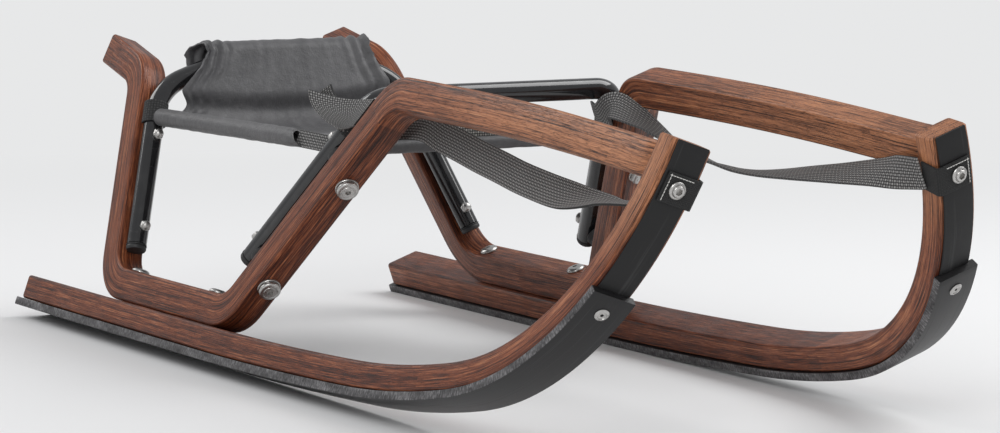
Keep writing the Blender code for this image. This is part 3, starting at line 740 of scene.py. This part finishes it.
# Turned pieces: radius and height in millimetres over the face under them; below -1 they lie past the grip
mm = 0.001
profiles = {
    "strutHead": ((0, -0.2), (11.3, 0.1), (11.5, 0.8), (11.5, 1.9), (11.1, 2.4), (9.6, 2.6), (9.4, 3),
                  (9.4, 3.4), (10.4, 3.6), (10.7, 4.1), (10.7, 6), (10.2, 6.9), (9, 7.5), (7.4, 7.8),
                  (7, 7.4), (6.4, 7.4), (6, 7.9), (4, 8.1), (0, 8.1)),
    "strutShank": ((0, 0), (4, -0.3), (4, -7), (3.3, -7.8), (0, -8)),
    "uprightHead": ((0, 0), (9.2, 0.1), (9.5, 0.8), (9, 2.2), (7.2, 4), (4.6, 5), (0, 5.2)),
    "uprightDome": ((0, -4.2), (4.7, -4.5), (4.5, -6.2), (3.4, -7.6), (1.7, -8.3), (0, -8.4)),
    "uprightShank": ((0, 1), (4, 0.5), (4, -4), (0, -4.2)),
    "pan": ((0, 0.2), (9.3, 0.3), (9.5, 0.9), (9.1, 2), (7.4, 3.4), (4.8, 4.1), (0, 4.2)),
    "cone": ((0, 0.1), (6.4, 0.2), (6.6, 0.7), (6, 1.3), (4.6, 2), (4.2, 1.9), (3.9, 1.2), (3, 1), (0, 1)),
    "capScrew": ((0, 2.1), (7.6, 2.2), (8, 2.7), (8, 3.4), (7.4, 4.2), (6, 4.9), (5.7, 4.6), (5.4, 5.1),
                 (5.3, 6.2), (4.8, 6.7), (0, 6.8)),
    "bush": ((4.3, 0.3), (10, 0.3), (11, 1.2), (10.6, 5), (10, 6.3), (10.6, 7.6), (11, 11.4), (10, 12.6),
             (4.3, 12.6), (4.3, 0.3)),
    "cap": ((0, 0.3), (10.8, 0.3), (10.8, 1.3), (10, 1.6), (10.5, 2.2), (10.5, 4.6), (9.6, 6), (0, 6)),
}
hexSockets = {  # radius, bottom and top
    "strutHead": (3.1, 5, 9), "uprightHead": (2.7, 2.8, 7), "pan": (2.6, 2.2, 6), "cone": (1.7, -0.6, 3),
    "capScrew": (3.4, 3, 10),
}
nuts = {"strut": (6.4, 5.6, 3.9), "upright": (6, 4.6, 2), "steps": 36}  # radius, height and hole


def turnPiece(name, grip=0.0, steps=32):
    rows = []
    for radius, height in profiles[name]:
        level = height * mm - (grip if height < -1 else 0)
        rows.append([Vector((a, b, level)) for a, b in roundSection(radius * mm, steps)])
    piece = layGrid(name, rows)
    if name in hexSockets:
        cutSocket(piece, *[size * mm for size in hexSockets[name]])
    return piece


def putOn(model, node, place, axis, finish="steel"):
    piece = model.copy()
    piece.data = model.data.copy()
    piece.name = node
    bpy.context.scene.collection.objects.link(piece)
    turned = axis.normalized().to_track_quat("Z", "Y").to_matrix().to_4x4()
    piece.data.transform(Matrix.Translation(place) @ turned)
    finishPiece(piece, finish)


def joinAll(name, pieces):
    selectOnly(*pieces)
    bpy.ops.object.join()
    bpy.context.object.name = name
    return bpy.context.object


def cutSocket(piece, radius, low, high):
    bpy.ops.mesh.primitive_cylinder_add(vertices=6, radius=radius, depth=high - low,
                                        location=(0, 0, (low + high) / 2))
    cutter = bpy.context.object
    useModifier(piece, "BOOLEAN", operation="DIFFERENCE", object=cutter, solver="EXACT")
    bpy.data.objects.remove(cutter, do_unlink=True)


bolts = {
    "strutLow": 0.0775, "strutHigh": 0.1879, "uprightLow": 0.1020, "uprightHigh": 0.1980,
    "screwClear": 0.0085, "screwBack": 0.027, "soleScrewBack": 0.020, "strapBelow": 0.0405,
}
faceRise = 2 * sled["gap"] + facing["thick"]


def makeNut(name, grip):
    radius, size, hole = [size * mm for size in nuts[name]]
    low, high, narrow = -grip - size, -grip - sled["gap"], 0.93
    rows = []
    for r, height in ((hole, low), (radius * 0.96, low), (radius, low + 0.6 * mm), (radius, high - 1.2 * mm),
                      (radius * narrow, high), (hole, high)):
        row = []
        for k in range(nuts["steps"] + 1):
            angle = 2 * pi * k / nuts["steps"]
            flat = cos(pi / 6) / cos((angle % (pi / 3)) - pi / 6)
            out = r if r == hole else r * (flat if r == radius else min(flat, narrow))
            row.append(Vector((out * cos(angle), out * sin(angle), height)))
        rows.append(row)
    return layGrid(name + "Nut", rows)


# Z = 0 is the face under the head, the head stands up, and the nut is beyond the grip
def makeFasteners():
    tilt, strut = carrier["uprightTilt"], carrier["strutTilt"]
    grip = carrier["thick"] + hoops["bush"] + 2 * sled["tube"] + 2 * sled["gap"]
    parts = [turnPiece("strutHead"), turnPiece("strutShank", grip, 24), makeNut("strut", grip)]
    strutBolt = joinAll("strutBolt", parts)
    grip = carrier["thick"] + 2 * sled["tube"] + 2 * sled["gap"]
    parts = [turnPiece("uprightHead"), makeNut("upright", grip), turnPiece("uprightDome", grip, 24),
             turnPiece("uprightShank", grip, 24)]
    uprightBolt = joinAll("uprightBolt", parts)
    pan, cone, capScrew, bush, cap = [turnPiece(name) for name in ("pan", "cone", "capScrew", "bush", "cap")]
    top = carrier["foot"] + carrier["thick"] / 2
    middle = carrier["bendInner"] + carrier["thick"] / 2
    heelEnd = carrier["heel"] + middle * tan((pi / 2 - tilt) / 2)
    toeStart = carrier["toe"] - middle * tan((pi / 2 - strut) / 2)
    for name, side in sides.items():
        back = frameDirection(side, -cos(strut), sin(strut))
        forward = frameDirection(side, cos(tilt), sin(tilt))
        for level in ("Low", "High"):
            end = "_" + level.lower() + "_" + name
            front = onFrame(side, *strutLine(bolts["strut" + level], -carrier["thick"] / 2))
            putOn(strutBolt, "strut_bolt" + end, front, -back)
            place = front + back.normalized() * carrier["thick"]
            putOn(bush, "bush" + end, place, back, "bush")
        for level in ("Low", "High"):
            tube = onFrame(side, *uprightLine(bolts["upright" + level], rearAhead))
            rear = tube - forward.normalized() * (rearAhead + carrier["thick"] / 2)
            putOn(uprightBolt, "upright_bolt_" + level.lower() + "_" + name, rear, -forward)
        for end, u in (("rear", heelEnd + bolts["screwClear"]), ("front", toeStart - bolts["screwBack"])):
            putOn(pan, "foot_screw_" + end + "_" + name, onFrame(side, u, top), frameDirection(side, 0, 1))
        for model, node, run, rise in (
                (cone, "sole_screw_", sole["run"] - bolts["soleScrewBack"], sole["thick"]),
                (capScrew, "strap_bolt_", runner["length"] - bolts["strapBelow"], faceRise)):
            place, heading = runnerPoint(run, -rise)
            axis = frameDirection(side, sin(heading), -cos(heading))
            putOn(model, node + name, onFrame(side, *place), axis)
        for leg, low, high in (("rear", rearLow, rearHigh), ("front", frontLow, frontHigh)):
            base = onFrame(side, *low)
            putOn(cap, leg + "_leg_cap_" + name, base, base - onFrame(side, *high), "cap")
    for model in (strutBolt, uprightBolt, pan, cone, capScrew, bush, cap):
        bpy.data.objects.remove(model, do_unlink=True)


makeHoop("rear_hoop", rearLow, rearHigh, hoops["rearBend"], arched=True)
makeHoop("front_hoop", frontLow, frontHigh, hoops["frontBend"])
makeFasteners()
print("hoops and fasteners made")

# Seat: a sleeve round the rear bar, a slope and a floor between the hems
seat = {
    "thick": 0.0022, "slack": 0.0035, "sleeveStart": radians(-30),
    "sleeveEnd": radians(38), "sleeveSteps": 34, "slope": 0.049, "sag": 0.022, "columns": 84,
    "floorSteps": 16, "solid": 0.003,  # solid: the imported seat's thickness
    "rightEnd": (0.0975, 0.0975, 0.0975, 0.0950, 0.0870, 0.0865), "leftEnd": (0.1045,) * 6,
    "rightSlope": (0.0865, 0.0985, 0.1190, 0.1400, 0.1425),
    "leftSlope": (0.1045, 0.1110, 0.1200, 0.1310, 0.1410),
}
hem = {
    "height": 0.2204, "rise": 0.0053, "radius": 0.0095, "front": 0.4777, "frontRadius": 0.0065,
    "frontHeight": 0.2207, "webbing": 0.023, "lap": 0.006, "approach": 0.022,
    "wave": 0.0006, "crease": 0.00055, "mouth": 0.016, "lip": 0.16, "inside": 0.20, "taper": 0.10,
    "frontInset": 0.0014, "frontDepth": 0.0010, "frontSteps": 60, "frontColumns": 24, "webbingSteps": 40,
    "steps": 70, "columns": 28, "sideShare": 0.74, "tuck": 0.010, "swing": 0.004,
}
web = 0.002  # thickness of the webbing on legs and hems


def hemStart():
    leg = uprightLine(hem["height"], rearAhead)
    return leg[0] + sled["tube"] + web + 3 * sled["gap"] + sin(carrier["uprightTilt"]) * hem["radius"]


def hemLine(u):
    return hem["height"] + hem["rise"] * (u - hemStart()) / (hem["front"] - hemStart())


frontHemMiddle = strutLine(hem["frontHeight"], frontBehind)
legSide = sled["tube"] + web + 2 * sled["gap"]


def seatHalf(u):
    share = min(max((u - hem["front"] + hem["approach"]) / hem["approach"], 0), 1)
    inside = hem["radius"] + (legSide - hem["radius"]) * share + sled["gap"]
    return halfWidth(-inside, onFrame(1, u, hemLine(u)).z + seat["solid"] / 2)


def seatStations():
    rear = onFrame(1, *uprightLine(hoops["rearBar"], rearAhead))
    radius = sled["tube"] + seat["slack"] + seat["solid"] / 2
    wrap = 2 * pi - (seat["sleeveEnd"] - seat["sleeveStart"])
    stations = []
    for k in range(seat["sleeveSteps"] + 1):
        share = k / seat["sleeveSteps"]
        angle = seat["sleeveStart"] - wrap * share
        place = (rear.x + radius * cos(angle), rear.z + radius * sin(angle))
        droop = (1 - sin(angle)) / 2
        halves = [atShare(seat[end], share) for end in ("rightEnd", "leftEnd")]
        stations.append((*place, *halves, 0.0, 0.0, droop))
    x, z = stations[-1][:2]
    floorX = rear.x + seat["slope"]
    frontX = frontHemMiddle[0] - sled["centre"] - hem["frontRadius"] - web - 2 * sled["gap"]

    def floorAt(at):
        return Vector((at, onFrame(1, 0, hemLine(at + sled["centre"])).z, 0))

    start, low, front = Vector((x, z, 0)), floorAt(floorX), floorAt(frontX)
    slope = (start + low) / 2 - Vector((0, seat["solid"], 0))
    for point in smoothLine([start, slope, low, (low + front) / 2, front], seat["floorSteps"])[1:]:
        down = min((point.x - x) / (floorX - x), 1)
        ahead = max((point.x - floorX) / (frontX - floorX), 0)
        halves = [atShare(seat[end], down) for end in ("rightSlope", "leftSlope")]
        if down == 1:
            halves = [seatHalf(point.x + sled["centre"])] * 2
        sag = seat["sag"] * sin(pi * min(ahead + down / 4, 1))
        hung = droop * (1 - smoothStep(down, 0.0, 0.35))
        stations.append((point.x, point.y, *halves, sag, down + ahead, hung))
    return stations


def atShare(row, share):
    place = min(share, 0.9999) * (len(row) - 1)
    k = int(place)
    return row[k] + (row[k + 1] - row[k]) * (place - k)


# Folds of the leather, in metres off its surface: side edges, corners and the line above the floor
folds = {
    "edge": 0.0012, "ripple": 0.0007, "pull": 0.0007, "rings": 0.0019, "ringGap": 0.0125, "ringCurve": 0.010,
    "fan": 0.0040, "fanReach": 0.060, "line": 0.0013,
    "flare": 0.0018, "flareWave": 0.0046, "mouthWave": 0.0058, "mouthTear": 0.0030,
}


def noiseAt(*place):
    return noise.noise(Vector(place))


def crumple(across, fromEdge, along, stage):
    edge = smoothStep(abs(across), 0.50, 0.98)
    ridge = noiseAt(across * 7 + along * 26, along * 34 - across * 5, 2.3)
    ripple = noiseAt(across * 3, along * 115, 8.1)
    lift = edge * (folds["edge"] * (0.35 - abs(ridge)) + folds["ripple"] * ripple)
    lift += folds["pull"] * noiseAt(across * 11, along * 13, 5.7)
    curve = folds["ringCurve"] * smoothStep(stage, -0.2, 0.7)
    rings = sin((fromEdge - curve) * 2 * pi / folds["ringGap"] + 2.2 * across)
    nearMouth = (1 - smoothStep(stage, 0.25, 0.75)) * (1 - smoothStep(fromEdge, 0.012, 0.042))
    lift += folds["rings"] * rings * nearMouth
    down = max(0.0, 1.0 - stage) * folds["fanReach"]
    reach = hypot(fromEdge, down)
    fan = sin(9.5 * (down / (reach + 0.004)) + 4.0 * across + 22 * reach)
    corner = smoothStep(stage, 0.15, 0.5) * (1 - smoothStep(stage, 0.98, 1.06))
    lift += folds["fan"] * fan * corner * (1 - smoothStep(reach, 0.012, 0.052))
    line = smoothStep(stage, 0.62, 0.95) * (1 - smoothStep(stage, 1.0, 1.12))
    return lift + line * folds["line"] * noiseAt(across * 26, along * 48, 3.3)


def makeSeat():
    stations = seatStations()
    rows, run = [], 0.0
    for k, (x, z, right, left, sag, stage, droop) in enumerate(stations):
        a, b = stations[max(k - 1, 0)], stations[min(k + 1, len(stations) - 1)]
        size = hypot(b[0] - a[0], b[1] - a[1])
        ahead = ((b[0] - a[0]) / size, (b[1] - a[1]) / size)
        run += hypot(x - a[0], z - a[1])
        onSleeve = 1 - smoothStep(stage, 0.0, 0.35)
        flat = 1 - 0.75 * smoothStep(stage, 1.80, 1.98)
        row = []
        for c in range(seat["columns"] + 1):
            across = 2 * c / seat["columns"] - 1
            half = right if across < 0 else left
            y = across * (right + left) / 2 + (left - right) / 2
            fromEdge = half - abs(y)
            lift = crumple(across, fromEdge, run, stage) * flat
            flare = smoothStep(abs(across), 0.90, 1.0) * onSleeve
            lift += flare * (folds["flare"] + folds["flareWave"] * noiseAt(run * 55, across * 2, 1.9))
            y += flare * (folds["mouthWave"] * noiseAt(run * 75, across, 4.4)
                          + folds["mouthTear"] * noiseAt(run * 310, across, 6.2))
            fall = barFall(y) * droop
            drop = sag * (1 - across ** 2) + fall
            forward = fall * tan(carrier["uprightTilt"])
            row.append(Vector((x - ahead[1] * lift + forward, y, z - drop + ahead[0] * lift)))
        rows.append(row)
    piece = layGrid("seat_leather", rows)
    area = sum(polygon.area for polygon in piece.data.polygons)
    long = lineLengths([row[len(row) // 2] for row in rows])[-1]
    useModifier(piece, "SOLIDIFY", thickness=seat["thick"], offset=0.0)
    finishPiece(piece, "seat", smooth=70)
    wide = 2 * max(s[2] for s in stations)
    min(area, wide * long)


def makeFrontHem():
    middle = onFrame(1, *frontHemMiddle)
    beside = -legSide - sled["gap"]
    half = halfWidth(beside, middle.z + hem["frontRadius"])
    path = []
    for k in range(hem["frontSteps"] + 1):
        share = 2 * k / hem["frontSteps"] - 1
        wave = hem["wave"] * noiseAt(share * 9, 0, 2)
        path.append((Vector((middle.x, share * half, middle.z + wave)), Vector((0, 0, 1))))
    rows = sweepRows(path, roundSection(hem["frontRadius"], hem["frontColumns"]))
    piece = layGrid("seat_front_hem", closeEnds(rows, hem["frontInset"], hem["frontDepth"]))
    finishPiece(piece, "hem")
    back = hem["frontRadius"] + web / 2 + sled["gap"]
    lift = hem["webbing"] / 2 - hem["frontRadius"]
    half = halfWidth(beside, middle.z + lift + hem["webbing"] / 2)
    steps = hem["webbingSteps"]
    path = [(Vector((middle.x - back, half * (2 * k / steps - 1), middle.z + lift)), Vector((1, 0, 0)))
            for k in range(steps + 1)]
    finishPiece(ribbon("front_webbing", path, hem["webbing"], web), "front")


def makeSideHem(name, side):
    start, end, columns = hemStart(), hem["front"], hem["columns"]
    rows = []
    for k in range(hem["steps"] + 1):
        share = k / hem["steps"]
        row = []
        for c in range(columns + 1):
            angle = 2 * pi * c / columns
            crease = hem["crease"] * noiseAt(share * 26, cos(angle) * 1.6, sin(angle) * 1.6 + side)
            radius = hem["radius"] * (1 - hem["taper"] * smoothStep(share, 0.93, 1)) + crease - sled["gap"]
            slant = hem["mouth"] * smoothStep(share, 0.90, 1) * (0.5 - 0.5 * cos(angle) - 1)
            u = start + (end - start) * share + slant
            row.append(onFrame(side, u, hemLine(u) + radius * cos(angle), radius * sin(angle)))
        rows.append(row)
    first, middle = [middleOf(row[:-1]) for row in (rows[0], rows[-1])]
    deep = frameDirection(side, -1, 0)
    lip = [p + (middle - p) * hem["lip"] for p in rows[-1]]
    inside = [p + (middle - p) * hem["inside"] + deep * hem["mouth"] for p in rows[-1]]
    bottom = [middle + deep * (hem["mouth"] + mm)] * (columns + 1)
    piece = layGrid("side_hem_" + name, [[first] * (columns + 1)] + rows + [lip, inside, bottom])
    finishPiece(piece, "hem", smooth=60)
    leg = frontHemMiddle[0]
    beside = sled["tube"] + sled["gap"] + web / 2
    begin, swung, finish = hem["front"] - hem["tuck"], leg - hem["approach"], leg + hem["lap"]
    turns = [(begin, 0), ((begin + swung) / 2 + hem["swing"], beside / 2), (swung, beside), (finish, beside)]
    path = [(onFrame(side, u, hemLine(u), -into), frameDirection(side, 0, 0, -1))
            for u, into in smoothLine(turns, 8)]
    piece = ribbon("hem_webbing_" + name, path, hem["webbing"] * hem["sideShare"], web)
    finishPiece(piece, "strap")


makeSeat()
makeFrontHem()
for name, side in sides.items():
    makeSideHem(name, side)
print("seat made")

# Webbing round the legs, the sewn patches and the folded strap tails
bands = {
    "rearHeight": 0.2222, "rearWidth": 0.024, "opening": radians(62), "below": 0.027, "loopWidth": 0.024,
    "loopGap": 0.02, "patch": 0.0275, "patchWrap": 0.0195, "patchBend": 0.0032, "steps": 40,
}
stitch = {"inset": 0.0028, "count": 8, "long": 0.0024, "rise": 0.0005, "radius": 0.00042, "clear": 0.0002}
tail = {  # corners and middle of the fold and the free end: forward, up and swung outward
    "folds": ((0.5235, 0.2696, 0.0180), (0.5356, 0.2520, 0.0110), (0.5775, 0.2392, 0.0030)),
    "ends": ((0.5394, 0.2800, 0.0180), (0.5440, 0.2700, 0.0110), (0.5560, 0.2600, 0.0030)),
    "startHeights": (0.2735, 0.2600, 0.2455), "bend": 0.0050, "bendBack": 0.0040, "spring": 0.0015,
    "sag": 0.0030, "leftSink": 0.012, "columns": 10, "steps": 18,
}


def makeRing(name, middle, axis, width, start, end, forward):
    axis = axis.normalized()
    ahead = (forward - axis * axis.dot(forward)).normalized()
    across = axis.cross(ahead)
    path = []
    for k in range(bands["steps"] + 1):
        angle = start + (end - start) * k / bands["steps"]
        spoke = ahead * cos(angle) + across * sin(angle)
        path.append((middle + spoke * (sled["tube"] + sled["gap"] + web / 2), spoke))
    finishPiece(ribbon(name, path, width, web), "dark")


def makePatch(name, side):
    place, heading = runnerPoint(runner["length"] - bolts["strapBelow"], -faceRise)
    axis = frameDirection(side, sin(heading), -cos(heading))
    inner = frameDirection(side, 0, 0, -1)
    half = web / 2
    corner = onFrame(side, *place, -runner["width"] / 2 - sled["gap"] - half) + axis * half
    outer = onFrame(side, *place, bands["patch"] / 2) + axis * half
    tip = corner - axis * (faceRise + bands["patchWrap"])
    quarter = [pi / 2 * k / 8 for k in range(9)]
    normals = [axis] + [axis * cos(angle) + inner * sin(angle) for angle in quarter] + [inner]
    path = list(zip(roundedPath([outer, corner, tip], [bands["patchBend"]], 8), normals))
    piece = ribbon("strap_patch_" + name, path, bands["patch"], web)
    finishPiece(piece, "patch")
    stitches = []
    upward = frameDirection(side, cos(heading), sin(heading))
    outward = frameDirection(side, 0, 0, 1)
    face = onFrame(side, *place) + axis * (web + stitch["clear"])
    edge = bands["patch"] / 2 - stitch["inset"]
    places = [edge * (2 * k / (stitch["count"] - 1) - 1) for k in range(stitch["count"])]
    marks = [(p, edge, True) for p in places] + [(edge, p, False) for p in places]
    for up, out, tall in marks:
        middle = face + upward * up + outward * out
        along = (upward if tall else outward) * stitch["long"]
        bend = []
        for share in (0, 0.25, 0.5, 0.75, 1):
            bend.append((middle + along * (share - 0.5) + axis * stitch["rise"] * sin(pi * share), axis))
        rows = closeEnds(sweepRows(bend, roundSection(stitch["radius"], 8)), 0.1 * mm, 0.1 * mm)
        stitches.append(layGrid("stitch", rows))
    finishPiece(joinAll("strap_stitches_" + name, stitches), "thread")


def between(points, share):
    a, b, c = [Vector(p) for p in points]
    return (1 - share) ** 2 * a + 2 * share * (1 - share) * (2 * b - (a + c) / 2) + share ** 2 * c


def makeTail(name, side):
    out = -straps[name][0][2]
    sink = 0.0 if side > 0 else tail["leftSink"]
    behind = carrier["thick"] / 2 + sled["gap"]
    start = [(*strutLine(height, behind), 0.0) for height in tail["startHeights"]]
    shares = [c / tail["columns"] for c in range(tail["columns"] + 1)]
    rows = []
    for k in range(tail["steps"] + 1):
        share = k / tail["steps"]
        sag, row = tail["sag"] * sin(pi * share), []
        for c in shares:
            p = between(start, c).lerp(between(tail["folds"], c), share)
            row.append(onFrame(side, p.x, p.y - sag * (1 - c) - sink * share, out + p.z - sag))
        rows.append(row)
    for k in range(1, 9):
        back, inward = tail["bendBack"] * sin(pi * k / 9), tail["bend"] * (1 - cos(pi * k / 9))
        fold = [between(tail["folds"], c) for c in shares]
        rows.append([onFrame(side, p.x - back, p.y - sink, out + p.z - inward) for p in fold])
    for k in range(9):
        flap = [between(tail["folds"], c).lerp(between(tail["ends"], c), k / 8) for c in shares]
        inward = 2 * tail["bend"] + tail["spring"] * k / 8
        rows.append([onFrame(side, p.x, p.y - sink, out + p.z - inward) for p in flap])
    piece = thicken(layGrid("strap_tail_" + name, rows), web)
    finishPiece(piece, "strap")


for name, side in sides.items():
    axis = frameDirection(side, -sin(carrier["uprightTilt"]), cos(carrier["uprightTilt"]))
    leg = onFrame(side, *uprightLine(bands["rearHeight"], rearAhead))
    makeRing("rear_band_" + name, leg, axis, bands["rearWidth"], bands["opening"],
             2 * pi - bands["opening"], frameDirection(side, -1, 0))
    axis = frameDirection(side, sin(carrier["strutTilt"]), cos(carrier["strutTilt"]))
    leg = onFrame(side, *strutLine(hoops["frontBar"] - bands["below"], frontBehind))
    makeRing("webbing_loop_" + name, leg, axis, bands["loopWidth"], 0, 2 * pi - bands["loopGap"],
             frameDirection(side, 1, 0))
    makePatch(name, side)
    makeTail(name, side)
print("webbing made")


# Floor, backdrop and soft studio light
studio = {
    "floor": (0.80, 0.80, 0.80), "patches": (0.78, 0.78, 0.785), "far": (0.80, 0.805, 0.81),
    "fade": (0.8, 5.0), "world": (0.90, 0.91, 0.93), "worldLevel": 0.55,
    "lamps": (((0.4, 2.2, 2.6), 2.2, 62), ((2.6, -2.4, 2.2), 1.8, 48), ((-2.4, -1.4, 2.0), 1.6, 26)),
}


def makeStudio():
    bpy.ops.mesh.primitive_plane_add(size=60, location=(0, 0, 0))
    ground = bpy.context.object
    ground.name = "floor"
    f = Finish("floorPaint", Roughness=0.9)
    x, y, _ = f.parts(f.place())
    away = f.range(x * x + y * y, *studio["fade"])
    seen = f.rays("Is Camera Ray") + f.rays("Is Glossy Ray")
    shade = f.cloud(f.place(), 0.7, 2.0)
    paint = f.mix(shade * 0.2, studio["floor"], studio["patches"])
    ground.data.materials.append(f.done(Base_Color=paint))
    pale = f.node("ShaderNodeEmission", {}, {"Color": (*studio["far"], 1), "Strength": 1.0})
    f.cover(away * seen, pale, "Material Output")
    bpy.context.scene.world = bpy.data.worlds.new("studio")
    f = Finish("studio", bpy.context.scene.world, Color=(*studio["world"], 1), Strength=studio["worldLevel"])
    sky = f.node("ShaderNodeBackground", {}, {"Color": (*studio["far"], 1)})
    f.cover(f.rays("Is Camera Ray"), sky, "World Output")
    for place, size, power in studio["lamps"]:
        bpy.ops.object.light_add(type="AREA", location=place)
        lamp = bpy.context.object
        lamp.rotation_euler = (Vector((0, 0, 0.15)) - Vector(place)).to_track_quat("-Z", "Y").to_euler()
        lamp.data.energy = power
        lamp.data.size = size


makeStudio()
bpy.context.scene.view_settings.view_transform = "Standard"
print("studio made")

bpy.context.view_layer.update()
